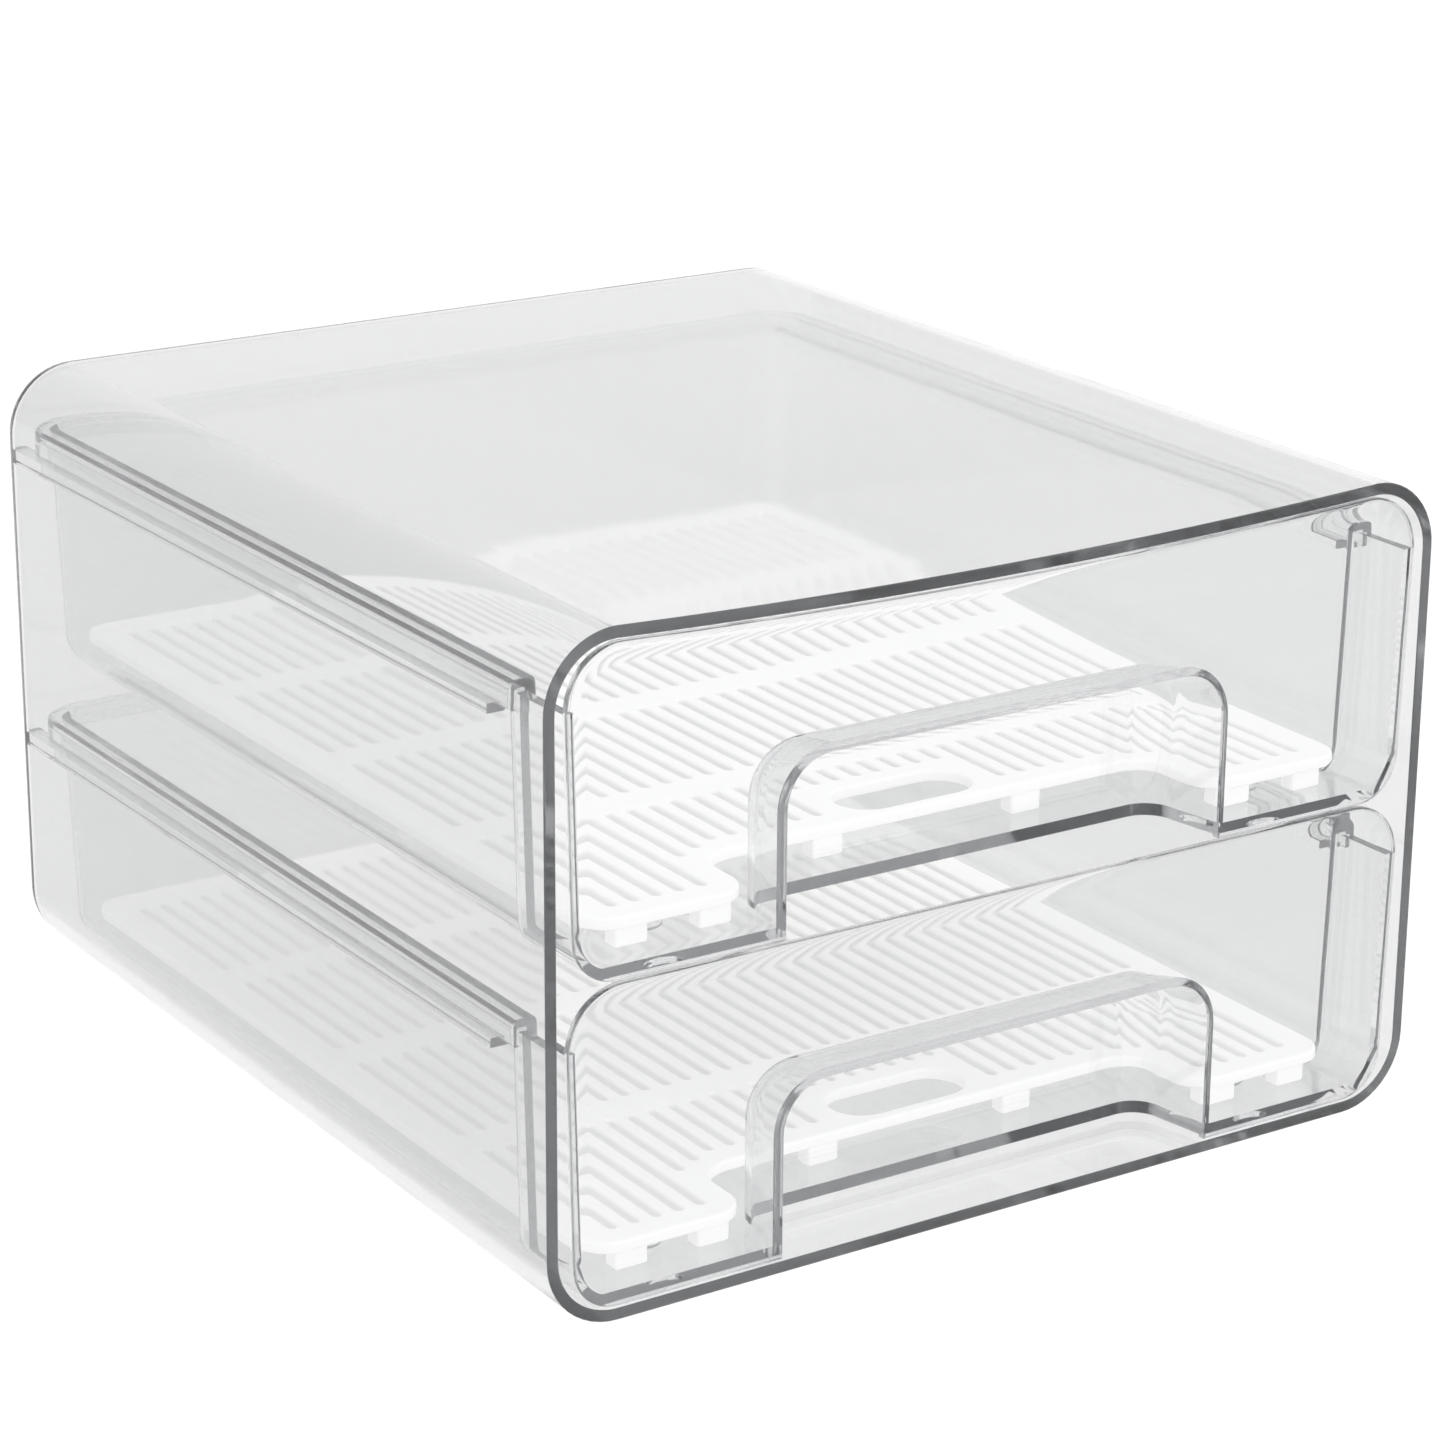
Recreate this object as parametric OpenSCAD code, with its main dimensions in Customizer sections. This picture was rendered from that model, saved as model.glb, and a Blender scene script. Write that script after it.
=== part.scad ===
// Two-drawer refrigerator storage bin: a clear one-piece casing with moulded rails, two clear
// drawers that hang on the rails by their rolled rims, and a slotted drain tray in each drawer.
// Frame: X across, +Y to the rear, +Z up. The origin is at the bottom centre of the casing.

/* [Casing] */
// Outer width of the casing
case_w = 260; // [240:1:280]
// Outer depth of the casing, mouth to rear wall
case_d = 290; // [270:1:310]
// Outer height of the casing
case_h = 170; // [162:1:180]
// Wall thickness of the casing
case_wall = 3; // [2.4:0.1:3.6]
// Radius of the four long corners
case_r = 19; // [14:0.5:24]
// Radius of the edges round the rear wall
case_rear_r = 6; // [4:0.5:9]

/* [Rails] */
// How far a rail stands in from the side wall
rail_w = 4.8; // [4:0.1:5.6]
// Thickness of a rail at its front end
rail_front_t = 2.4; // [2:0.1:3]
// Thickness of a rail at the rear wall
rail_rear_t = 3.9; // [3:0.1:5]
// Distance from the mouth to the front end of a rail
rail_front_y = 27; // [25:0.5:40]

/* [Drawer] */
// Wall thickness of a drawer
wall = 2.6; // [2.2:0.1:2.8]
// Gap above, between and below the two front panels
panel_gap = 0.6; // [0.5:0.1:1.2]
// Gap from the front panel to the side wall of the casing, at the top of the panel
side_gap = 2.5; // [2:0.1:3.5]
// Lean of the drawer walls, degrees
draft = 1.5; // [1:0.1:2]
// Radius of the upper corners of the front panel
panel_top_r = 15; // [10:0.5:18]
// Radius of the lower corners of the front panel
panel_bottom_r = 12; // [9:0.5:14]
// Distance from the front face to the rear of the full-width section
step_y = 21.6; // [20:0.2:24]
// Height of the side walls of the full-width section
step_h = 65.8; // [65:0.1:67]
// Height of the rim above the bottom of the drawer
rim_h = 68.6; // [68:0.1:70]
// Height of the floor's underside above the bottom of the front panel
floor_lift = 0.8; // [0.5:0.1:1.2]

/* [Rim] */
// How far the rim stands out from the body wall
rim_out = 4.2; // [4:0.1:4.5]
// Thickness of the rim's top
rim_t = 2.4; // [2:0.1:2.8]
// Thickness of the rim's turned-down lip
lip_t = 1.6; // [1.2:0.1:2]
// Height from the rail's top to the rim's top
lip_h = 6.5; // [5.5:0.1:7]

/* [Finger pocket] */
// Width of the pocket at the front face
pocket_w = 129.4; // [110:0.2:136]
// Height of the pocket at the front face
pocket_h = 44.5; // [36:0.5:50]
// Depth of the pocket
pocket_d = 23; // [20:0.5:25]
// Radius of the pocket's upper corners
pocket_r = 12.5; // [8:0.5:16]
// Radius of the pocket's rear corners, seen from above
pocket_plan_r = 8; // [5:0.5:10]

/* [Drain tray] */
// Width of the tray
tray_w = 224.6; // [215:0.2:226]
// Thickness of the tray plate
tray_t = 3.2; // [2.6:0.1:4]
// Height of the tray's feet
tray_foot_h = 5; // [4:0.1:7]
// Distance from the front face of the drawer to the front edge of the tray
tray_front = 9.6; // [8:0.1:11]
// Distance from the front face of the drawer to the rear edge of the tray
tray_rear = 275.4; // [270:0.2:276]
// Spacing of the drain slots across the tray
slot_pitch = 6.2; // [5.8:0.1:7]
// Width of a drain slot
slot_w = 2.2; // [1.6:0.1:3]

/* [Hidden] */
$fn = 64;

eps = 0.01;
far = 400;
lean = tan(draft);
inner_w = case_w - 2 * case_wall;
inner_h = case_h - 2 * case_wall;
inner_d = case_d - case_wall;
mouth_y = -case_d / 2;

// Heights of the two drawers: each front panel fills half of the mouth
panel_h = (inner_h - 3 * panel_gap) / 2;
drawer_z = [case_wall + panel_gap, case_wall + 2 * panel_gap + panel_h];
slide_clear = 0.1;
rail_top = rim_h - lip_h - slide_clear;

// Widths of the drawer, as half-widths at the height named
panel_half = inner_w / 2 - side_gap;
body_half = inner_w / 2 - rail_w - 1;
rim_half = body_half + rim_out;
rear_clear = 2;
rim_rear = inner_d - rear_clear;
body_rear = rim_rear - rim_out;
body_corner_r = 10;
body_plan_r = 9;
floor_top = floor_lift + wall;

// How much narrower (each side) and lower the finger pocket is at its rear
pocket_taper = 2.7;
pocket_fall = 3.3;

// Round pads under the drawer floor, level with the bottom of the front panel
pad_d = 10.4;
pad_x = 90;
pad_front_y = 25;
pad_rear_y = 258;

// The tray sits on the drawer floor
seat_clear = 0.05;
tray_z = floor_top + seat_clear + tray_foot_h;
tray_r = 8;
notch_half = 68.4;
notch_y = 34.5;
notch_r = 10;
lobe_r = 9;
foot_w = 9;
foot_d = 5;

// The slots lie in four bands from front to rear, parted by solid bands
slot_cols = 34;
bands = 4;
slot_front = 17;
slot_rear_margin = 12;
solid_band = 10.8;
band_len = (tray_rear - slot_rear_margin - slot_front - (bands - 1) * solid_band) / bands;
band_pitch = band_len + solid_band;
finger_hole = [39, 17];
finger_hole_y = 46.5;

// ---- Outlines -------------------------------------------------------------------------------

// Block whose outline is drawn in X and Z and which runs back from y0 to y1
module along_y(y0, y1) {
    translate([0, y1, 0]) rotate([90, 0, 0]) linear_extrude(y1 - y0) children();
}

// Block whose outline is drawn in Y and Z and which runs across, centred
module along_x(w) {
    translate([-w / 2, 0, 0]) rotate([90, 0, 90]) linear_extrude(w) children();
}

// Rectangle with rounded corners, centred in X, from z = 0 up
module round_rect(w, h, r) {
    translate([-w / 2 + r, 0]) square([w - 2 * r, h]);
    translate([-w / 2, r]) square([w, h - 2 * r]);
    for (sx = [-1, 1], z = [r, h - r]) translate([sx * (w / 2 - r), z]) circle(r);
}

// Upright outline with sides that lean in towards the bottom. The half-width is given at the
// height h. A radius of 0 leaves that pair of corners square.
module leaning(half, h, r_top, r_bottom) {
    foot_half = half - h * lean;
    // Centres of the corner arcs lie r in from the leaning side
    in_bottom = foot_half + r_bottom * lean - r_bottom / cos(draft);
    in_top = half - r_top * lean - r_top / cos(draft);
    side_bottom = [in_bottom + r_bottom * cos(draft), r_bottom - r_bottom * sin(draft)];
    side_top = [in_top + r_top * cos(draft), h - r_top - r_top * sin(draft)];
    right = concat(
        r_bottom > 0 ? [[in_bottom, 0], [in_bottom, r_bottom], side_bottom] : [[foot_half, 0]],
        r_top > 0 ? [side_top, [in_top, h - r_top], [in_top, h]] : [[half, h]]
    );
    count = len(right);
    polygon(concat(right, [for (i = [count - 1:-1:0]) [-right[i].x, right[i].y]]));
    for (sx = [-1, 1]) {
        if (r_bottom > 0) translate([sx * in_bottom, r_bottom]) circle(r_bottom);
        if (r_top > 0) translate([sx * in_top, h - r_top]) circle(r_top);
    }
}

// Plan outline, open-ended at the front, with two rounded corners at the rear
module plan(half, y0, y1, r) {
    translate([-half, y0]) square([2 * half, y1 - r - y0]);
    translate([-half + r, y0]) square([2 * (half - r), y1 - y0]);
    for (sx = [-1, 1]) translate([sx * (half - r), y1 - r]) circle(r);
}

// ---- Casing ---------------------------------------------------------------------------------

// Closed-ended box with rounded long corners and a rounded rear, inset by a wall
module case_block(inset, y0) {
    w = case_w - 2 * inset;
    h = case_h - 2 * inset;
    rear = case_d - inset;
    rear_r = case_rear_r - inset;
    translate([0, 0, inset]) intersection() {
        along_y(y0, rear) round_rect(w, h, case_r - inset);
        linear_extrude(h) plan(w / 2, y0, rear, rear_r);
        along_x(w) {
            translate([y0, 0]) square([rear - rear_r - y0, h]);
            translate([y0, rear_r]) square([rear - y0, h - 2 * rear_r]);
            for (z = [rear_r, h - rear_r]) translate([rear - rear_r, z]) circle(rear_r);
        }
    }
}

// A rail is level on top and thickens to the rear, so that the mould's core can draw out
module rail(z_top) {
    root = 1;
    for (sx = [-1, 1])
        translate([sx * (inner_w / 2 - rail_w / 2 + root / 2), 0, z_top])
            along_x(rail_w + root)
                polygon([
                    [rail_front_y, 0],
                    [rail_front_y, -rail_front_t],
                    [inner_d + root, -rail_rear_t],
                    [inner_d + root, 0]
                ]);
}

module casing() {
    color([0.90, 0.91, 0.92, 0.45])
        translate([0, mouth_y, 0]) {
            difference() {
                case_block(0, 0);
                case_block(case_wall, -1);
            }
            for (z = drawer_z) rail(z + rail_top);
        }
}

// ---- Drawer ---------------------------------------------------------------------------------

// Space that the body of the drawer takes up, or its cavity when inset by the wall
module body_block(inset, z0, z1) {
    half = body_half - inset;
    rear = body_rear - inset;
    intersection() {
        along_y(wall, body_rear)
            translate([0, z0]) leaning(half, rim_h - z0, 0, body_corner_r - inset);
        linear_extrude(z1) plan(half, 0, rear, body_plan_r - inset);
        along_x(case_w)
            polygon([[0, z0], [rear - (rim_h - z0) * lean, z0], [rear, rim_h], [rear, z1], [0, z1]]);
    }
}

// Full-width section behind the front panel, with the panel's own outline
module front_block(inset, y0, y1, z0) {
    half = panel_half - inset;
    along_y(y0, y1) intersection() {
        translate([0, z0]) leaning(half, panel_h - z0, panel_top_r - inset, panel_bottom_r - inset);
        translate([-case_w / 2, 0]) square([case_w, far]);
    }
}

// Rolled rim: a shelf out from the body wall with a lip turned down at its edge
module rim() {
    channel_half = rim_half - lip_t;
    channel_rear = rim_rear - lip_t;
    front = step_y - wall;
    rim_r = body_plan_r + rim_out;
    difference() {
        translate([0, 0, rim_h - lip_h]) linear_extrude(lip_h) plan(rim_half, front, rim_rear, rim_r);
        translate([0, 0, rim_h - lip_h - 1]) linear_extrude(lip_h - rim_t + 1)
            plan(channel_half, step_y, channel_rear, rim_r - lip_t);
    }
}

// Arched outline, open-ended below z = 0
module arch(half, top, r) {
    translate([-half, -1]) square([2 * half, top - r + 1]);
    translate([-half + r, -1]) square([2 * (half - r), top + 1]);
    for (sx = [-1, 1]) translate([sx * (half - r), top - r]) circle(r);
}

// Finger pocket, as a void or, grown by the wall, as the block that it is sunk into. It narrows
// and falls to the rear, where all its edges are rounded.
module pocket_block(grow) {
    front_half = pocket_w / 2 + grow;
    rear_half = front_half - pocket_taper;
    front_top = pocket_h + grow;
    rear_top = front_top - pocket_fall;
    rear = pocket_d + grow;
    arch_r = pocket_r + grow;
    edge_r = pocket_plan_r + grow;
    hull() {
        along_y(-1, 0) arch(front_half, front_top, arch_r, $fn = 48);
        for (sx = [-1, 1]) {
            translate([sx * (rear_half - arch_r), rear - edge_r, rear_top - arch_r])
                rotate([90, 0, 0]) rotate_extrude($fn = 40)
                    translate([arch_r - edge_r, 0]) intersection() {
                        circle(edge_r, $fn = 40);
                        translate([-(arch_r - edge_r), -edge_r]) square(2 * edge_r);
                    }
            translate([sx * (rear_half - edge_r), rear - edge_r, -1]) cylinder(r = edge_r, h = 1, $fn = 40);
        }
    }
}

module drawer() {
    tall = panel_h + 10;
    color([0.93, 0.94, 0.95, 0.40]) difference() {
        union() {
            difference() {
                union() {
                    front_block(0, 0, wall, 0);
                    intersection() {
                        front_block(0, wall - eps, step_y, 0);
                        translate([-far / 2, 0, floor_lift]) cube([far, far, step_h - floor_lift]);
                    }
                    body_block(0, floor_lift, rim_h);
                    rim();
                }
                front_block(wall, wall, step_y - wall, floor_top);
                body_block(wall, floor_top, tall);
            }
            intersection() {
                pocket_block(wall);
                translate([-far / 2, 0, floor_lift]) cube([far, far, far]);
            }
            for (sx = [-1, 1], y = [pad_front_y, pad_rear_y])
                translate([sx * pad_x, y, 0]) cylinder(d = pad_d, h = floor_lift + 1);
        }
        pocket_block(0);
    }
}

module upper_drawer() {
    translate([0, mouth_y, drawer_z[1]]) drawer();
}

module lower_drawer() {
    translate([0, mouth_y, drawer_z[0]]) drawer();
}

// ---- Drain tray -----------------------------------------------------------------------------

// Straight slot with round ends
module slot(x, y0, y1) {
    r = slot_w / 2;
    translate([x, y0 + r]) circle(r, $fn = 24);
    translate([x, y1 - r]) circle(r, $fn = 24);
    translate([x - r, y0 + r]) square([slot_w, y1 - y0 - slot_w]);
}

// Where the front slots start: they keep clear of the notch, its corners and the finger hole
function slot_start(x) =
    abs(x) > 75 ? slot_front :
    abs(x) > 69 ? notch_y + 1.5 :
    abs(x) > 62 ? notch_y + 4.5 :
    abs(x) > finger_hole.x / 2 + 3 ? notch_y + 7.5 :
    finger_hole_y + finger_hole.y / 2 + 6;

module tray_outline() {
    half = tray_w / 2;
    difference() {
        translate([0, tray_front]) round_rect(tray_w, tray_rear - tray_front, tray_r);
        // Notch round the finger pocket, with round ends to the two lobes
        plan(notch_half, tray_front - 1, notch_y, notch_r);
        for (sx = [-1, 1]) difference() {
            translate([sx * (notch_half + (lobe_r - 1) / 2) - (lobe_r + 1) / 2, tray_front - 1])
                square([lobe_r + 1, lobe_r + 1]);
            translate([sx * (notch_half + lobe_r), tray_front + lobe_r]) circle(lobe_r);
        }
    }
}

module slots() {
    for (col = [0:slot_cols - 1]) {
        x = (col - (slot_cols - 1) / 2) * slot_pitch;
        for (band = [0:bands - 1]) {
            y0 = slot_front + band * band_pitch;
            slot(x, band == 0 ? slot_start(x) : y0, y0 + band_len);
        }
    }
}

module tray() {
    hole_r = finger_hole.y / 2;
    hole_dx = finger_hole.x / 2 - hole_r;
    color([0.97, 0.97, 0.97]) translate([0, 0, tray_z]) {
        linear_extrude(tray_t) difference() {
            tray_outline();
            slots();
            for (sx = [-1, 1]) translate([sx * hole_dx, finger_hole_y]) circle(hole_r);
            translate([-hole_dx, finger_hole_y - hole_r]) square([2 * hole_dx, 2 * hole_r]);
        }
        // Feet under the front edge, the notch and each solid band
        translate([0, 0, -tray_foot_h]) {
            for (x = [-101, -78, 78, 101]) foot(x, tray_front + 4);
            for (x = [-30, 30]) foot(x, notch_y + 3);
            for (row = [1:bands], x = [-101, -30, 30, 101])
                foot(x, slot_front + row * band_pitch - solid_band / 2);
        }
    }
}

module foot(x, y) {
    translate([x - foot_w / 2, y - foot_d / 2, 0]) cube([foot_w, foot_d, tray_foot_h + 1]);
}

module upper_tray() {
    translate([0, mouth_y, drawer_z[1]]) tray();
}

module lower_tray() {
    translate([0, mouth_y, drawer_z[0]]) tray();
}

casing();
upper_drawer();
lower_drawer();
upper_tray();
lower_tray();
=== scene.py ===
"""Looks for the two-drawer refrigerator bin: clear polished mouldings and white drain trays."""
import math
import bmesh
import bpy
from mathutils import Matrix, Vector


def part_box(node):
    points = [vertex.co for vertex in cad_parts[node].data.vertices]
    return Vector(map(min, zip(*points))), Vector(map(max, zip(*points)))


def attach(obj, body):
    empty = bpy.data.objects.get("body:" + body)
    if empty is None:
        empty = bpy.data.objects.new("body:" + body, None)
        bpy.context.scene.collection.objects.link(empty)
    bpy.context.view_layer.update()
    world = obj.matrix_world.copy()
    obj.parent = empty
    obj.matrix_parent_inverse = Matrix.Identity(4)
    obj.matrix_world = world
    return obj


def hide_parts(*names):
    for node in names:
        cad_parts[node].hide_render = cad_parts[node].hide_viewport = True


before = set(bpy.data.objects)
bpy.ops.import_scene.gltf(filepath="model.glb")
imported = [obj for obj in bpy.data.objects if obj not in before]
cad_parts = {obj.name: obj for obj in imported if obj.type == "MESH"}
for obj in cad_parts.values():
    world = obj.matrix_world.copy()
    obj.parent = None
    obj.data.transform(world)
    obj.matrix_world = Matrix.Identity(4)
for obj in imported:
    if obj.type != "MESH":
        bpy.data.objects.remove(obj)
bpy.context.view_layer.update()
MM = 0.001
SCENE = bpy.context.scene

# ---- Camera ----------------------------------------------------------------------------------
CAMERA_TARGET = Vector((0.0083, -0.0053, 0.0856))
CAMERA_AZIMUTH = math.radians(-33.17)
CAMERA_ELEVATION = math.radians(18.80)
CAMERA_ROLL = math.radians(0.40)
CAMERA_DISTANCE = 1.1282
CAMERA_LENS = 104.89
CAMERA_SENSOR = 36.0


def make_camera():
    flat = math.cos(CAMERA_ELEVATION)
    away = Vector((
        math.sin(CAMERA_AZIMUTH) * flat,
        -math.cos(CAMERA_AZIMUTH) * flat,
        math.sin(CAMERA_ELEVATION),
    ))
    data = bpy.data.cameras.new("camera")
    data.lens = CAMERA_LENS
    data.sensor_width = CAMERA_SENSOR
    camera = bpy.data.objects.new("camera", data)
    SCENE.collection.objects.link(camera)
    turn = (-away).to_track_quat("-Z", "Y").to_matrix().to_4x4()
    place = Matrix.Translation(CAMERA_TARGET + away * CAMERA_DISTANCE)
    camera.matrix_world = place @ turn @ Matrix.Rotation(CAMERA_ROLL, 4, "Z")
    SCENE.camera = camera


# ---- Sizes, in millimetres. They are the CAD model's own, measured from the mouth of the casing ----
CASE_W, CASE_D, CASE_H = (1000 * (high - low) for low, high in zip(*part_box("casing")))
CASE_WALL = 3.0
CASE_R = 19.0
CASE_REAR_R = 6.0
MOUTH_Y = -CASE_D / 2
INNER_W = CASE_W - 2 * CASE_WALL
INNER_D = CASE_D - CASE_WALL

RAIL_W = 4.8
RAIL_FRONT_T = 2.4
RAIL_REAR_T = 3.9
RAIL_FRONT_Y = 27.0
RAIL_TOP = 62.0
RAIL_R = 0.4

WALL = 2.6
LEAN = math.tan(math.radians(1.5))
DRAWER_Z = {side: 1000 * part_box(side + "_drawer")[0].z for side in ("lower", "upper")}
PANEL_H = 81.1
PANEL_HALF = 124.5
PANEL_TOP_R = 15.0
PANEL_EDGE = 5.5      # width of the border where the panel's rear face falls away
PANEL_THIN = 0.6      # how much thinner the panel is at its edge
PANEL_BOTTOM_R = 12.0
STEP_Y = 21.6
STEP_H = 65.8
WEB_BITE = 0.3        # how far the step is rooted in the body
FLOOR_LIFT = 0.8
FLOOR_TOP = FLOOR_LIFT + WALL

RIM_H = 68.6
RIM_T = 2.4
RIM_OUT = 4.2
RIM_INNER_R = 1.5
RIM_OUTER_R = 1.4
UNDER_R = 0.5      # where the rim's underside meets the wall and the lip
LIP_T = 1.6
LIP_H = 6.5
LIP_R = 0.4
BODY_HALF = 121.2
BODY_REAR = 280.8
BODY_PLAN_R = 9.0
BODY_CORNER_R = 10.0
BODY_FRONT = 6.0      # the outside starts here, the inside at BODY_FRONT_IN; both are cut off later
BODY_FRONT_IN = 8.0
PLAN_SHRINK = 0.5     # how much the plan radius shrinks per mm of inset, down to the least radii
LEAST_PLAN_R = 3.0
LEAST_PLAN_R_IN = 2.5
INNER_ROUND = 1.8     # round where the inside of the body meets the step

POCKET_HALF = 64.7
POCKET_H = 44.5
POCKET_D = 23.0
POCKET_R = 12.5
POCKET_PLAN_R = 8.0
POCKET_TAPER = 2.7
POCKET_FALL = 3.3

PAD_R = 5.2
PAD_EDGE = 0.3
PAD_X = 90.0
PAD_Y = (25.0, 258.0)

TRAY_HALF = 112.3
TRAY_T = 3.2
TRAY_FOOT_H = 5.0
TRAY_GAP = 0.05       # between its feet and the drawer's floor
TRAY_Z = FLOOR_TOP + TRAY_GAP + TRAY_FOOT_H
TRAY_FRONT = 9.6
TRAY_REAR = 275.4
TRAY_R = 8.0
NOTCH_HALF = 68.4
NOTCH_Y = 34.5
NOTCH_R = 10.0
LOBE_R = 9.0
SLOT_PITCH = 6.2
SLOT_W = 2.2
SLOT_COLS = 34
BANDS = 4
SLOT_FRONT = 17.0
SLOT_REAR_MARGIN = 12.0
SOLID_BAND = 10.8
BAND_LEN = (TRAY_REAR - SLOT_REAR_MARGIN - SLOT_FRONT - (BANDS - 1) * SOLID_BAND) / BANDS
BAND_PITCH = BAND_LEN + SOLID_BAND
HOLE_HALF_W = 19.5
HOLE_R = 8.5
HOLE_Y = 46.5
# Where the front slots start, by how far out they stand: beyond the first figure, the second
SLOT_STARTS = (
    (75.0, SLOT_FRONT),
    (69.0, NOTCH_Y + 1.5),
    (62.0, NOTCH_Y + 4.5),
    (HOLE_HALF_W + 3.0, NOTCH_Y + 7.5),
    (0.0, HOLE_Y + HOLE_R + 6.0),
)

FOOT_X = (101.0, 30.0)          # feet stand in mirrored pairs this far from the middle
FOOT_FRONT_X = (101.0, 78.0)    # under the front edge
FOOT_HALF = (4.5, 2.5)
FOOT_R = 0.7
FOOT_EDGE = 0.35
FOOT_BACK = 4.0                 # from the front edge to its feet
FOOT_NOTCH_BACK = 3.0           # from the notch to its feet
TRAY_EDGE = 0.9                 # round on the plate's edges and slots

SAG = 2.7          # how far the middle of the mouth's upper edge hangs down
SAG_REACH = 80.0   # depth over which the sag dies out
HANG_FROM = RIM_H + 2.0    # the upper panel follows the sag from this height up
EDGE_R = 0.45      # small round on the free edges of the clear mouldings
WELD = 0.005       # points nearer than this are made one after each join
SLIP = 0.05        # keeps faces that would lie on each other just apart before they are joined
ROOT = 1.0         # how far an added part reaches into the piece it joins
PAST_FRONT = 2.0   # how far the pocket's void reaches past the panel
PAST_FLOOR = 5.0   # and below the drawer
SHARP = math.radians(32)   # edges that turn by more than this stay sharp

# ---- Looks -----------------------------------------------------------------------------------
PLASTIC_IOR = 1.57
CASING_TINT = (0.815, 0.817, 0.819)
DRAWER_TINT = (0.92, 0.922, 0.924)
DEPTH_TINT = (0.90, 0.902, 0.905)   # colour of the grey that grows with thickness
CASING_DEPTH = 32.0                 # density of that grey
DRAWER_DEPTH = 30.0
CASING_HAZE = 0.03                  # roughness, around which it varies
DRAWER_HAZE = 0.02
HAZE_SCALE = 18.0
HAZE_RANGE = (0.6, 1.4)             # share of the haze from the clearest to the cloudiest spot
RIPPLE = 0.00005                    # height of the waves in the walls, in metres
CASING_RIPPLE_SCALE = 30.0
DRAWER_RIPPLE_SCALE = 40.0

TRAY_DARK = (0.93, 0.93, 0.93)
TRAY_LIGHT = (0.96, 0.96, 0.958)
TRAY_ROUGH = (0.32, 0.42)
# Painted light: the trays glow, though they are no lamp, only on faces that look up, so their tops are
# lighter than their slot walls
TRAY_PAINTED_GLOW = 0.08                    # on faces that look up
MOTTLE_SCALE = 40.0
GRAIN_SCALE = 2500.0
GRAIN_DEPTH = 0.00002
GRAIN_STRENGTH = 0.3

FLOOR_REACH = 6.0
FLOOR_DROP = 0.0004                 # keeps the floor just under the casing
FLOOR_COLOUR = (0.2, 0.2, 0.2)
FLOOR_ROUGH = 0.75
FLOOR_GLOW = 0.82
WHITE = (1.0, 1.0, 1.0)

LIGHT_TOP = 1.0                     # overhead
LIGHT_FRONT = 1.35                  # at the horizon, on the side of LIGHT_SIDE
LIGHT_BACK = 0.95                   # at the horizon, on the other side
LIGHT_SIDE = (0.5, -0.866, 0.0)
HORIZON_TOP = 0.25                  # heights between which the horizon's light turns into the top's
TOP_FROM = 0.95
BOUNCES = 128                       # light crosses the plastic lengthwise in its cut edges
DIFFUSE_BOUNCES = 2


# ---- Outlines --------------------------------------------------------------------------------
def arc(cx, cy, r, start, end, steps):
    """Points on an arc, angles in degrees, both ends included."""
    turns = (math.radians(start + (end - start) * i / steps) for i in range(steps + 1))
    return [(cx + r * math.cos(a), cy + r * math.sin(a)) for a in turns]


def quarter(steps, first=0):
    """Angles from 0 to 90 degrees in equal steps, in radians."""
    return [math.radians(90 * i / steps) for i in range(first, steps + 1)]


def straight(a, b, steps):
    """Points strictly between a and b."""
    return [(a[0] + (b[0] - a[0]) * i / steps, a[1] + (b[1] - a[1]) * i / steps)
            for i in range(1, steps)]


def closed(corners, sides):
    """A closed outline of corner arcs joined by straight sides, each cut into equal steps."""
    points = []
    for i, corner in enumerate(corners):
        points += corner
        points += straight(corner[-1], corners[(i + 1) % len(corners)][0], sides[i])
    return points


def round_box(half_x, low, high, r, across, up, steps=12):
    """Rounded rectangle, anticlockwise from its lower right corner."""
    return closed([
        arc(half_x - r, low + r, r, -90, 0, steps),
        arc(half_x - r, high - r, r, 0, 90, steps),
        arc(-half_x + r, high - r, r, 90, 180, steps),
        arc(-half_x + r, low + r, r, 180, 270, steps),
    ], [up, across, up, across])


def leaning_right(inset, steps=12):
    """Right half of the front panel's outline from the bottom up: two arcs on a leaning side."""
    tilt = math.degrees(math.atan(LEAN))
    bottom_r = PANEL_BOTTOM_R - inset
    top_r = PANEL_TOP_R - inset
    foot = PANEL_HALF - PANEL_H * LEAN
    cz = inset + bottom_r
    cx = foot + cz * LEAN - (bottom_r + inset) / math.cos(math.radians(tilt))
    tz = PANEL_H - inset - top_r
    tx = foot + tz * LEAN - (top_r + inset) / math.cos(math.radians(tilt))
    return arc(cx, cz, bottom_r, -90, -tilt, steps), arc(tx, tz, top_r, -tilt, 90, steps)


def mirrored(points):
    return [(-x, z) for x, z in reversed(points)]


def panel_outline(inset, across=24):
    low, high = leaning_right(inset)
    return closed([low, high, mirrored(high), mirrored(low)], [8, across, 8, across])


def u_section(outer, inner):
    """Closed U from an outer and an inner path, each running from the upper right to the upper left."""
    return outer + list(reversed(inner))


def trough(half_top, top, corner_r, floor, lift, steps=12):
    """Path from the upper right, down a leaning side, along the floor and up to the upper left.
    half_top is the half-width at the height top."""
    side = half_top - (top - lift - corner_r) * LEAN - corner_r
    corner = [(x, max(z, floor)) for x, z in arc(side, lift + corner_r, corner_r, 0, -90, steps)]
    right = [(half_top, top)] + corner
    return right + mirrored(right)


def arch_outline(half, top, bottom, r, across=16, steps=12):
    return closed([
        [(half, bottom)],
        arc(half - r, top - r, r, 0, 90, steps),
        arc(-half + r, top - r, r, 90, 180, steps),
        [(-half, bottom)],
    ], [6, across, 6, across])


# ---- Meshes ----------------------------------------------------------------------------------
def upright(points, y):
    """Places an outline drawn in X and Z at the depth y."""
    return [Vector((x, y, z)) for x, z in points]


def level(points, z):
    """Places an outline drawn in X and Y at the height z."""
    return [Vector((x, y, z)) for x, y in points]


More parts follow.
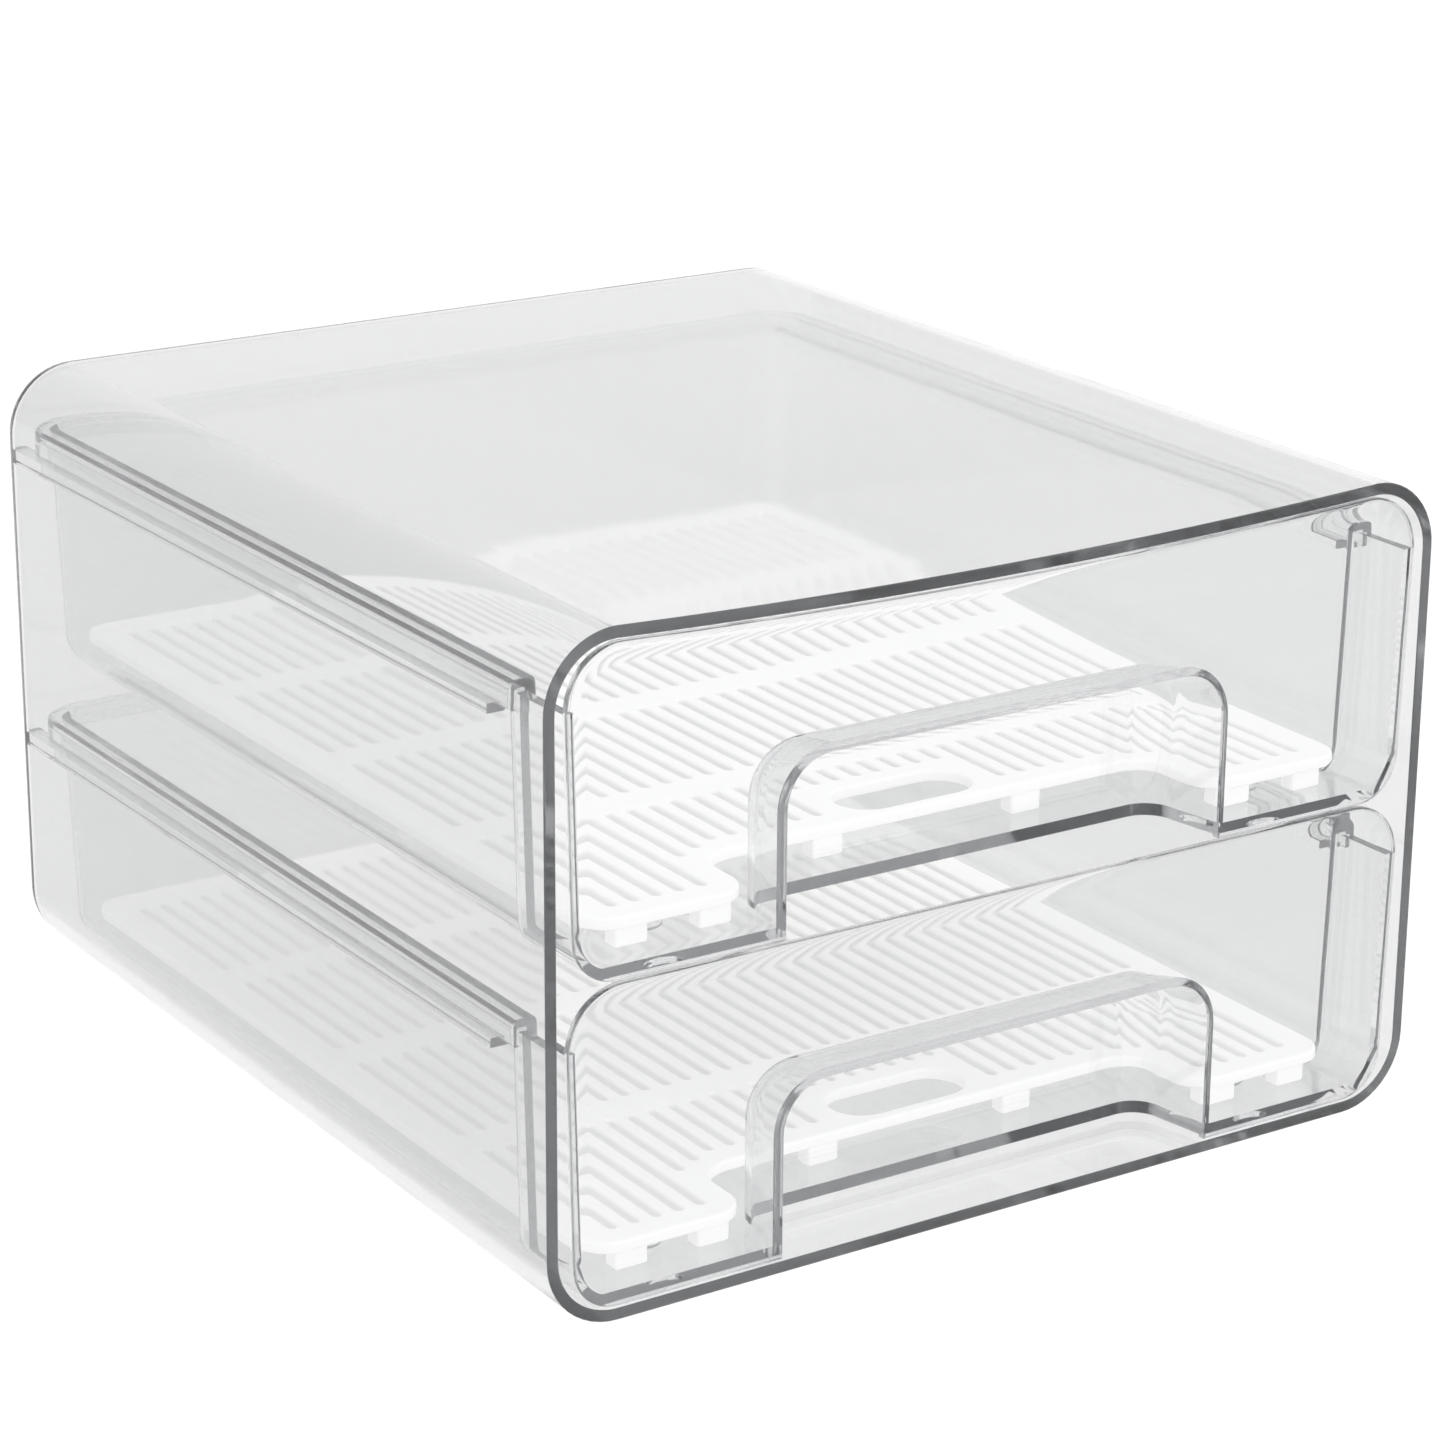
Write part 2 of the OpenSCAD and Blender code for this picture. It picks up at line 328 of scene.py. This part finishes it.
def skin(mesh, loops):
    """Faces between loops of points, and one at each end."""
    count = len(loops[0])
    for low, high in zip(loops, loops[1:]):
        for i in range(count):
            j = (i + 1) % count
            mesh.faces.new((low[i], low[j], high[j], high[i]))
    mesh.faces.new(list(reversed(loops[0])))
    mesh.faces.new(loops[-1])


def loft(name, rings):
    """Closed solid through rings of equal count, capped at both ends."""
    mesh = bmesh.new()
    skin(mesh, [[mesh.verts.new(p) for p in ring] for ring in rings])
    bmesh.ops.recalc_face_normals(mesh, faces=mesh.faces)
    return as_object(name, mesh)


def as_object(name, mesh):
    data = bpy.data.meshes.new(name)
    mesh.to_mesh(data)
    mesh.free()
    piece = bpy.data.objects.new(name, data)
    SCENE.collection.objects.link(piece)
    return piece


def prism(name, points, y0, y1):
    """Solid with an XZ outline that runs from y0 to y1."""
    return loft(name, [upright(points, y0), upright(points, y1)])


def combine(piece, other, operation):
    """Joins other to piece, or cuts it away, and deletes other."""
    step = piece.modifiers.new("combine", "BOOLEAN")
    step.operation = operation
    step.solver = "EXACT"
    step.object = other
    bake(piece)
    bpy.data.objects.remove(other)
    mesh = bmesh.new()
    mesh.from_mesh(piece.data)
    weld(mesh)
    mesh.to_mesh(piece.data)
    mesh.free()
    return piece


def weld(mesh):
    """Makes points that a join left almost together into one, and drops faces without area."""
    bmesh.ops.remove_doubles(mesh, verts=mesh.verts, dist=WELD)
    bmesh.ops.dissolve_degenerate(mesh, edges=mesh.edges, dist=WELD)


def bake(piece):
    """Applies a piece's modifiers to its mesh."""
    bpy.context.view_layer.update()
    evaluated = piece.evaluated_get(bpy.context.evaluated_depsgraph_get())
    data = bpy.data.meshes.new_from_object(evaluated)
    old = piece.data
    piece.modifiers.clear()
    piece.data = data
    bpy.data.meshes.remove(old)


def finish_mesh(piece):
    """Cleans a joined mesh, makes it smooth except at its real edges, and turns it into metres
    with the casing's middle at the origin."""
    mesh = bmesh.new()
    mesh.from_mesh(piece.data)
    weld(mesh)
    for face in mesh.faces:
        face.smooth = True
    for edge in mesh.edges:
        edge.smooth = edge.calc_face_angle(math.pi) < SHARP
    mesh.to_mesh(piece.data)
    mesh.free()
    piece.data.transform(Matrix.Translation((0, MOUTH_Y * MM, 0)) @ Matrix.Scale(MM, 4))
    smooth = piece.modifiers.new("normals", "WEIGHTED_NORMAL")
    smooth.keep_sharp = True
    smooth.weight = 100
    bake(piece)


# ---- Casing ----------------------------------------------------------------------------------
def sag(x, y):
    """How far the casing's top hangs down: most at the middle of the mouth, none at the corners."""
    across = max(0.0, 1 - (x / (CASE_W / 2 - CASE_R)) ** 2)
    return SAG * across * math.exp(-((y / SAG_REACH) ** 2))


def casing_ring(inset, y):
    outline = round_box(CASE_W / 2 - inset, inset, CASE_H - inset, CASE_R - inset, 28, 14)
    return upright([(x, z - (sag(x, y) if z > CASE_H / 2 else 0)) for x, z in outline], y)


def make_casing():
    rings = []
    turn = quarter(8)
    depths = [EDGE_R + (CASE_D - CASE_REAR_R - EDGE_R) * i / 24 for i in range(25)]
    # Outside: round the rear edge, then forward to the mouth
    for a in turn:
        inset = CASE_REAR_R * (1 - math.sin(a))
        rings.append(casing_ring(inset, CASE_D - CASE_REAR_R * (1 - math.cos(a))))
    rings += [casing_ring(0, y) for y in reversed(depths[:-1])]
    # Mouth: two small rounds with a flat between them
    edge = quarter(4, 1)
    for a in edge:
        rings.append(casing_ring(EDGE_R * (1 - math.cos(a)), EDGE_R * (1 - math.sin(a))))
    for a in reversed(edge):
        inset = CASE_WALL - EDGE_R * (1 - math.cos(a))
        rings.append(casing_ring(inset, EDGE_R * (1 - math.sin(a))))
    # Inside: back to the rear wall and round its edge
    inner_r = CASE_REAR_R - CASE_WALL
    rings += [casing_ring(CASE_WALL, y) for y in depths[:-1]]
    for a in reversed(turn):
        inset = CASE_WALL + inner_r * (1 - math.sin(a))
        rings.append(casing_ring(inset, INNER_D - inner_r * (1 - math.cos(a))))
    piece = loft("casing_shell", rings)
    for z in DRAWER_Z.values():
        for side in (-1, 1):
            combine(piece, make_rail(side, z + RAIL_TOP), "UNION")
    return piece


def make_rail(side, top):
    """A rail, level on top, that grows thicker to the rear."""
    inner = side * (INNER_W / 2 - RAIL_W)
    outer = side * (INNER_W / 2 + ROOT)
    r = RAIL_R
    rings = []
    for y, t in ((RAIL_FRONT_Y, RAIL_FRONT_T), (INNER_D + ROOT, RAIL_REAR_T)):
        section = [(outer, top), (outer, top - t)]
        section += [(inner + side * x, top - t + z) for x, z in arc(r, r, r, -90, -180, 4)]
        section += [(inner + side * x, top + z) for x, z in arc(r, -r, r, 180, 90, 4)]
        rings.append(upright(section, y))
    return loft("rail", rings)


# ---- Drawer ----------------------------------------------------------------------------------
def make_panel():
    rings = []
    for a in quarter(4):
        rings.append(upright(panel_outline(EDGE_R * (1 - math.sin(a))), EDGE_R * (1 - math.cos(a))))
    edge = WALL - PANEL_THIN
    for a in quarter(4)[:-1]:
        depth = edge - EDGE_R * (1 - math.sin(a))
        rings.append(upright(panel_outline(EDGE_R * (1 - math.cos(a))), depth))
    for a in quarter(12):
        inset = EDGE_R + (PANEL_EDGE - EDGE_R) * (1 - math.cos(a))
        rings.append(upright(panel_outline(inset), edge + PANEL_THIN * math.sin(a)))
    return loft("panel", rings)


def wide_path(inset, floor, top):
    """The full-width section's outline, inset, cut off at the height top."""
    low, _ = leaning_right(inset)
    foot = PANEL_HALF - PANEL_H * LEAN
    slope = math.sqrt(1 + LEAN * LEAN)
    upper = (foot + top * LEAN - inset * slope, top)
    right = [upper] + [(x, max(z, floor)) for x, z in reversed(low)]
    return right + mirrored(right)


def body_half(z):
    return BODY_HALF - (RIM_H - z) * LEAN


def make_channel():
    """Floor and side walls of the full-width section."""
    outer = wide_path(SLIP, FLOOR_LIFT, STEP_H)
    inner = wide_path(WALL, FLOOR_TOP, STEP_H)
    return prism("channel", u_section(outer, inner), ROOT, STEP_Y)


def make_web():
    """Upright step from the full-width section in to the narrower body, rooted in both."""
    corner_r = BODY_CORNER_R - WALL / 2
    outer = wide_path(WALL / 2, FLOOR_LIFT + WALL / 2, STEP_H - SLIP)
    side = body_half(STEP_H) - WEB_BITE
    inner = trough(side, STEP_H - SLIP, corner_r, 0, FLOOR_TOP - WEB_BITE)
    return prism("web", u_section(outer, inner), STEP_Y - WALL, STEP_Y - SLIP)


def body_outline(half, front, rear, r, flare):
    """Body seen from above: rear corners rounded, front edges spread outward by flare."""
    turn = quarter(6)
    start = STEP_Y - WALL
    right = [(half + flare, front)]
    right += [
        (half + flare * (1 - math.sin(a)), start + INNER_ROUND * (1 - math.cos(a))) for a in turn
    ]
    bend = arc(half - r, rear - r, r, 0, 90, 10)
    right += straight(right[-1], bend[0], 10) + bend
    return right + mirrored(right)


def body_rings():
    """Rings of the body from the inner floor, up over the rolled rim and down to the outer floor."""
    def ring(inset, z, r, front, flare=0.0):
        drop = (RIM_H - z) * LEAN
        half = BODY_HALF - drop - inset
        return level(body_outline(half, front, BODY_REAR - drop - inset, r, flare), z)

    rings = []
    inner_r = BODY_CORNER_R - WALL
    inner_plan = BODY_PLAN_R - WALL
    for a in quarter(8):
        inset = WALL + inner_r * (1 - math.sin(a))
        z = FLOOR_TOP + inner_r * (1 - math.cos(a))
        plan_r = max(inner_plan - (inset - WALL) * PLAN_SHRINK, LEAST_PLAN_R_IN)
        rings.append(ring(inset, z, plan_r, BODY_FRONT_IN, INNER_ROUND))
    # Over the rim: inner edge, flat top, rounded outer edge and the lip
    for a in quarter(4):
        inset = WALL - RIM_INNER_R * (1 - math.cos(a))
        z = RIM_H - RIM_INNER_R * (1 - math.sin(a))
        rings.append(ring(inset, z, BODY_PLAN_R - inset, BODY_FRONT_IN, INNER_ROUND))
    for a in quarter(6):
        inset = -RIM_OUT + RIM_OUTER_R * (1 - math.sin(a))
        z = RIM_H - RIM_OUTER_R * (1 - math.cos(a))
        drop = (RIM_H - z) * LEAN
        rings.append(ring(inset - drop, z, BODY_PLAN_R - inset, BODY_FRONT))
    lip_low = RIM_H - LIP_H
    for a in quarter(3):
        inset = -RIM_OUT + LIP_R * (1 - math.cos(a))
        z = lip_low + LIP_R * (1 - math.sin(a))
        rings.append(ring(inset - (RIM_H - z) * LEAN, z, BODY_PLAN_R - inset, BODY_FRONT))
    for a in quarter(3):
        inset = -RIM_OUT + LIP_T - LIP_R * (1 - math.sin(a))
        z = lip_low + LIP_R * (1 - math.cos(a))
        rings.append(ring(inset - (RIM_H - z) * LEAN, z, BODY_PLAN_R - inset, BODY_FRONT))
    under = RIM_H - RIM_T
    for a in quarter(3):
        inset = -RIM_OUT + LIP_T + UNDER_R * (1 - math.cos(a))
        z = under - UNDER_R * (1 - math.sin(a))
        rings.append(ring(inset - (RIM_H - z) * LEAN, z, BODY_PLAN_R - inset, BODY_FRONT))
    for a in quarter(3):
        inset = -UNDER_R * (1 - math.sin(a))
        z = under - UNDER_R * (1 - math.cos(a))
        rings.append(ring(inset, z, BODY_PLAN_R - inset, BODY_FRONT))
    for a in quarter(12):
        inset = BODY_CORNER_R * (1 - math.cos(a))
        z = FLOOR_LIFT + BODY_CORNER_R * (1 - math.sin(a))
        plan_r = max(BODY_PLAN_R - inset * PLAN_SHRINK, LEAST_PLAN_R)
        rings.append(ring(inset, z, plan_r, BODY_FRONT))
    return rings


def pocket(grow, bottom, name):
    """The finger pocket as a block, grown by the wall, or as the void in it."""
    front_half = POCKET_HALF + grow
    rear_half = front_half - POCKET_TAPER
    top = POCKET_H + grow
    rear = POCKET_D + grow
    edge_r = POCKET_PLAN_R + grow
    arch_r = POCKET_R + grow
    start = rear - edge_r
    rings = []
    if grow:
        stops = [ROOT] + [start * i / 6 for i in range(1, 7)]
    else:
        stops = [EDGE_R] + [start * i / 6 for i in range(1, 7)]
        outline = arch_outline(front_half + EDGE_R, top + EDGE_R, bottom, arch_r + EDGE_R)
        rings.append(upright(outline, -PAST_FRONT))
        for a in quarter(4)[:-1]:
            flare = EDGE_R * (1 - math.sin(a))
            y = EDGE_R * (1 - math.cos(a))
            outline = arch_outline(front_half + flare, top + flare, bottom, arch_r + flare)
            rings.append(upright(outline, y))
    for y in stops:
        share = y / start
        half = front_half - POCKET_TAPER * share
        rings.append(upright(arch_outline(half, top - POCKET_FALL * share, bottom, arch_r), y))
    for a in quarter(10, 1):
        inset = edge_r * (1 - math.cos(a))
        outline = arch_outline(rear_half - inset, top - POCKET_FALL - inset, bottom, arch_r - inset)
        rings.append(upright(outline, start + edge_r * math.sin(a)))
    return loft(name, rings)


def make_cap(side):
    """Closes the front end of the rolled rim."""
    low = RIM_H - LIP_H + 2 * SLIP
    high = RIM_H - ROOT
    inner = side * (BODY_HALF - ROOT)
    outer = side * (BODY_HALF + RIM_OUT - LIP_T / 2)
    section = [(inner, low), (outer, low), (outer, high), (inner, high)]
    return prism("cap", section, STEP_Y - WALL + 3 * SLIP, STEP_Y - 3 * SLIP)


def make_pad(x, y):
    """Round pad under the drawer, with a small bevel, rooted in its floor."""
    disc = arc(x, y, PAD_R, 0, 360, 48)[:-1]
    rim = arc(x, y, PAD_R - PAD_EDGE, 0, 360, 48)[:-1]
    return loft("pad", [level(rim, 0), level(disc, PAD_EDGE), level(disc, FLOOR_LIFT + ROOT)])


def make_drawer():
    piece = loft("drawer", body_rings())
    reach = 200.0
    face = round_box(reach, -reach, reach, 1, 1, 1, 1)
    cut = prism("cut", face, STEP_Y - WALL - reach, STEP_Y - WALL + SLIP)
    combine(piece, cut, "DIFFERENCE")
    combine(piece, make_web(), "UNION")
    combine(piece, make_channel(), "UNION")
    combine(piece, make_panel(), "UNION")
    for side in (-1, 1):
        combine(piece, make_cap(side), "UNION")
        for y in PAD_Y:
            combine(piece, make_pad(side * PAD_X, y), "UNION")
    combine(piece, pocket(WALL, FLOOR_LIFT + SLIP, "pocket_block"), "UNION")
    combine(piece, pocket(0, -PAST_FLOOR, "pocket_void"), "DIFFERENCE")
    return piece


# ---- Drain tray ------------------------------------------------------------------------------
def slot_start(x):
    """Where the front slots start: they keep clear of the notch, its corners and the finger hole."""
    return next(start for beyond, start in SLOT_STARTS if abs(x) > beyond)


def tray_outline():
    half, front, rear = TRAY_HALF, TRAY_FRONT, TRAY_REAR
    right = arc(half - TRAY_R, front + TRAY_R, TRAY_R, -90, 0, 10)
    right += arc(half - TRAY_R, rear - TRAY_R, TRAY_R, 0, 90, 10)
    left = [(-x, y) for x, y in reversed(right)]
    lobe = arc(-NOTCH_HALF - LOBE_R, front + LOBE_R, LOBE_R, -90, 0, 10)
    notch = arc(-NOTCH_HALF + NOTCH_R, NOTCH_Y - NOTCH_R, NOTCH_R, 180, 90, 10)
    mouth = lobe + notch
    return right + left + mouth + [(-x, y) for x, y in reversed(mouth)]


def slot_outlines():
    r = SLOT_W / 2
    for col in range(SLOT_COLS):
        x = (col - (SLOT_COLS - 1) / 2) * SLOT_PITCH
        for band in range(BANDS):
            y0 = SLOT_FRONT + band * BAND_PITCH
            y1 = y0 + BAND_LEN
            if band == 0:
                y0 = slot_start(x)
            yield arc(x, y0 + r, r, 180, 360, 8) + arc(x, y1 - r, r, 0, 180, 8)


def make_tray():
    """Plate with rounded edges from one flat filled curve, with its feet."""
    curve = bpy.data.curves.new("tray", "CURVE")
    curve.dimensions = "2D"
    curve.fill_mode = "BOTH"
    curve.extrude = TRAY_T / 2 - TRAY_EDGE
    curve.bevel_depth = TRAY_EDGE
    curve.bevel_resolution = 3
    curve.offset = -TRAY_EDGE
    hole = arc(HOLE_HALF_W - HOLE_R, HOLE_Y, HOLE_R, -90, 90, 12)
    hole += arc(-HOLE_HALF_W + HOLE_R, HOLE_Y, HOLE_R, 90, 270, 12)
    for points in [tray_outline(), hole, *slot_outlines()]:
        spline = curve.splines.new("POLY")
        spline.points.add(len(points) - 1)
        for point, (x, y) in zip(spline.points, points):
            point.co = (x, y, 0, 1)
        spline.use_cyclic_u = True
    piece = bpy.data.objects.new("tray", curve)
    SCENE.collection.objects.link(piece)
    bpy.context.view_layer.update()
    data = bpy.data.meshes.new_from_object(piece.evaluated_get(bpy.context.evaluated_depsgraph_get()))
    bpy.data.objects.remove(piece)
    mesh = bmesh.new()
    mesh.from_mesh(data)
    bpy.data.meshes.remove(data)
    bmesh.ops.translate(mesh, verts=mesh.verts, vec=(0, 0, TRAY_Z + TRAY_T / 2))
    weld(mesh)
    return combine(as_object("tray", mesh), make_feet(), "UNION")


def foot_places():
    """Middles of the feet: under the front edge, the notch and each solid band."""
    rows = [(FOOT_FRONT_X, TRAY_FRONT + FOOT_BACK), (FOOT_X[1:], NOTCH_Y + FOOT_NOTCH_BACK)]
    rows += [(FOOT_X, SLOT_FRONT + row * BAND_PITCH - SOLID_BAND / 2) for row in range(1, BANDS + 1)]
    return [(side * x, y) for distances, y in rows for x in distances for side in (-1, 1)]


def make_feet():
    """Small blocks with softened lower edges."""
    half_x, half_y = FOOT_HALF
    low = TRAY_Z - TRAY_FOOT_H
    mesh = bmesh.new()
    for x, y in foot_places():
        loops = []
        for inset, z in ((FOOT_EDGE, low), (0.0, low + FOOT_EDGE), (0.0, TRAY_Z + ROOT)):
            outline = round_box(half_x - inset, -half_y + inset, half_y - inset, FOOT_R, 1, 1, 3)
            loops.append([mesh.verts.new((x + px, y + py, z)) for px, py in outline])
        skin(mesh, loops)
    return as_object("feet", mesh)


# ---- Materials -------------------------------------------------------------------------------
def new_material(name):
    material = bpy.data.materials.new(name)
    material.use_nodes = True
    return material, material.node_tree.nodes, material.node_tree.links


def noise(nodes, links, coords, scale, detail):
    texture = nodes.new("ShaderNodeTexNoise")
    texture.inputs["Scale"].default_value = scale
    texture.inputs["Detail"].default_value = detail
    links.new(coords, texture.inputs["Vector"])
    return texture.outputs["Fac"]


def bump(nodes, links, height, distance, strength):
    node = nodes.new("ShaderNodeBump")
    node.inputs["Distance"].default_value = distance
    node.inputs["Strength"].default_value = strength
    links.new(height, node.inputs["Height"])
    return node.outputs["Normal"]


def spread(nodes, links, value, low, high):
    """Maps a 0 to 1 value to a range."""
    node = nodes.new("ShaderNodeMapRange")
    node.inputs["To Min"].default_value = low
    node.inputs["To Max"].default_value = high
    links.new(value, node.inputs["Value"])
    return node.outputs["Result"]


def clear_plastic(name, tint, density, haze, ripple_scale):
    """Clear moulding: waves from the melt's flow, slight haze, and a grey that grows with thickness."""
    material, nodes, links = new_material(name)
    shader = nodes["Principled BSDF"]
    coords = nodes.new("ShaderNodeTexCoord").outputs["Object"]
    shader.inputs["Base Color"].default_value = (*tint, 1)
    shader.inputs["IOR"].default_value = PLASTIC_IOR
    shader.inputs["Transmission Weight"].default_value = 1.0
    cloud = noise(nodes, links, coords, HAZE_SCALE, 4.0)
    low, high = (haze * share for share in HAZE_RANGE)
    links.new(spread(nodes, links, cloud, low, high), shader.inputs["Roughness"])
    flow = noise(nodes, links, coords, ripple_scale, 1.0)
    links.new(bump(nodes, links, flow, RIPPLE, 1.0), shader.inputs["Normal"])
    volume = nodes.new("ShaderNodeVolumeAbsorption")
    volume.inputs["Color"].default_value = (*DEPTH_TINT, 1)
    volume.inputs["Density"].default_value = density
    links.new(volume.outputs["Volume"], nodes["Material Output"].inputs["Volume"])
    return material


def white_plastic(name):
    """Opaque white moulding with a fine satin grain, and painted light: a glow on faces that look up,
    so the tray tops read lighter than slot walls and sides.
    """
    material, nodes, links = new_material(name)
    shader = nodes["Principled BSDF"]
    coords = nodes.new("ShaderNodeTexCoord").outputs["Object"]
    mottle = noise(nodes, links, coords, MOTTLE_SCALE, 3.0)
    ramp = nodes.new("ShaderNodeValToRGB")
    ramp.color_ramp.elements[0].color = (*TRAY_DARK, 1)
    ramp.color_ramp.elements[1].color = (*TRAY_LIGHT, 1)
    links.new(mottle, ramp.inputs["Fac"])
    links.new(ramp.outputs["Color"], shader.inputs["Base Color"])
    shader.inputs["Emission Color"].default_value = (*WHITE, 1)
    # Painted light: emission that grows with how far a face looks up, lighting the tray tops and
    # leaving slot walls and sides darker
    painted_light_facing = nodes.new("ShaderNodeSeparateXYZ")
    links.new(nodes.new("ShaderNodeNewGeometry").outputs["Normal"], painted_light_facing.inputs[0])
    painted_glow = spread(nodes, links, painted_light_facing.outputs["Z"], 0.0, TRAY_PAINTED_GLOW)
    links.new(painted_glow, shader.inputs["Emission Strength"])
    links.new(spread(nodes, links, mottle, *TRAY_ROUGH), shader.inputs["Roughness"])
    grain = noise(nodes, links, coords, GRAIN_SCALE, 2.0)
    relief = bump(nodes, links, grain, GRAIN_DEPTH, GRAIN_STRENGTH)
    links.new(relief, shader.inputs["Normal"])
    material.cycles.emission_sampling = "NONE"    # the glow is too faint to sample as a lamp
    return material


# ---- Pieces ----------------------------------------------------------------------------------
def copy_of(piece, name):
    twin = bpy.data.objects.new(name, piece.data.copy())
    SCENE.collection.objects.link(twin)
    return twin


def place(piece, name, body, lift, material, slot):
    """Names a finished piece, raises it to its height and hands it to the frame."""
    piece.name = name
    piece.data.name = name
    piece.data.transform(Matrix.Translation((0, 0, lift * MM)))
    piece.data.materials.clear()
    piece.data.materials.append(material)
    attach(piece, body)
    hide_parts(body)


def let_light_in(shell):
    """Room light reaches what lies behind clear plastic without being dimmed or spread."""
    shell.visible_diffuse = False


def hang_panel(piece):
    """Lets the upper panel's top edge follow the casing's sag."""
    low = HANG_FROM * MM
    high = PANEL_H * MM
    for vertex in piece.data.vertices:
        if vertex.co.z > low:
            share = (vertex.co.z - low) / (high - low)
            vertex.co.z -= sag(vertex.co.x / MM, 0) * MM * share


def make_pieces():
    casing_clear = clear_plastic(
        "casing_clear_plastic", CASING_TINT, CASING_DEPTH, CASING_HAZE, CASING_RIPPLE_SCALE
    )
    drawer_clear = clear_plastic(
        "drawer_clear_plastic", DRAWER_TINT, DRAWER_DEPTH, DRAWER_HAZE, DRAWER_RIPPLE_SCALE
    )
    tray_white = white_plastic("tray_white_plastic_painted_glow")
    casing = make_casing()
    drawer = make_drawer()
    tray = make_tray()
    for piece in (casing, drawer, tray):
        finish_mesh(piece)
    place(casing, "casing_shell", "casing", 0, casing_clear, "casing_clear")
    let_light_in(casing)
    for side, lift in DRAWER_Z.items():
        shell = copy_of(drawer, side)
        if side == "upper":
            hang_panel(shell)
        place(shell, side + "_drawer_shell", side + "_drawer", lift, drawer_clear, "drawer_clear")
        let_light_in(shell)
        plate = copy_of(tray, side)
        place(plate, side + "_tray_plate", side + "_tray", lift, tray_white, "tray_white")
    for original in (drawer, tray):
        bpy.data.objects.remove(original)


# ---- Floor and light -------------------------------------------------------------------------
def make_floor():
    mesh = bmesh.new()
    bmesh.ops.create_grid(mesh, x_segments=8, y_segments=8, size=FLOOR_REACH)
    floor = as_object("floor", mesh)
    floor.location.z = -FLOOR_DROP
    material, nodes, links = new_material("floor_white")
    shader = nodes["Principled BSDF"]
    shader.inputs["Base Color"].default_value = (*FLOOR_COLOUR, 1)
    shader.inputs["Roughness"].default_value = FLOOR_ROUGH
    shader.inputs["Emission Color"].default_value = (*WHITE, 1)
    shader.inputs["Emission Strength"].default_value = FLOOR_GLOW
    # Not sampled as a lamp: only traced rays pass the clear plastic
    material.cycles.emission_sampling = "NONE"
    floor.data.materials.append(material)


def make_light():
    """A white tent: brightest low at the front right, dimmer overhead and behind on the left."""
    world = bpy.data.worlds.new("studio")
    SCENE.world = world
    world.cycles.sampling_method = "NONE"    # as for the floor
    world.use_nodes = True
    nodes = world.node_tree.nodes
    links = world.node_tree.links
    direction = nodes.new("ShaderNodeTexCoord").outputs["Generated"]
    split = nodes.new("ShaderNodeSeparateXYZ")
    links.new(direction, split.inputs[0])
    height = nodes.new("ShaderNodeMapRange")
    height.inputs["From Min"].default_value = HORIZON_TOP
    height.inputs["From Max"].default_value = TOP_FROM
    links.new(split.outputs["Z"], height.inputs["Value"])
    around = nodes.new("ShaderNodeVectorMath")
    around.operation = "DOT_PRODUCT"
    around.inputs[1].default_value = LIGHT_SIDE
    links.new(direction, around.inputs[0])
    horizon = nodes.new("ShaderNodeMapRange")
    horizon.inputs["From Min"].default_value = -1.0
    horizon.inputs["From Max"].default_value = 1.0
    horizon.inputs["To Min"].default_value = LIGHT_BACK
    horizon.inputs["To Max"].default_value = LIGHT_FRONT
    links.new(around.outputs["Value"], horizon.inputs["Value"])
    mix = nodes.new("ShaderNodeMix")
    links.new(height.outputs["Result"], mix.inputs["Factor"])
    links.new(horizon.outputs["Result"], mix.inputs["A"])
    mix.inputs["B"].default_value = LIGHT_TOP
    links.new(mix.outputs["Result"], nodes["Background"].inputs["Strength"])
    nodes["Background"].inputs["Color"].default_value = (*WHITE, 1)


# ---- Scene -----------------------------------------------------------------------------------
make_camera()
make_pieces()
make_floor()
make_light()

SCENE.view_settings.view_transform = "Standard"
SCENE.cycles.blur_glossy = 0.0
SCENE.cycles.max_bounces = BOUNCES
SCENE.cycles.transmission_bounces = BOUNCES
SCENE.cycles.glossy_bounces = BOUNCES
SCENE.cycles.diffuse_bounces = DIFFUSE_BOUNCES
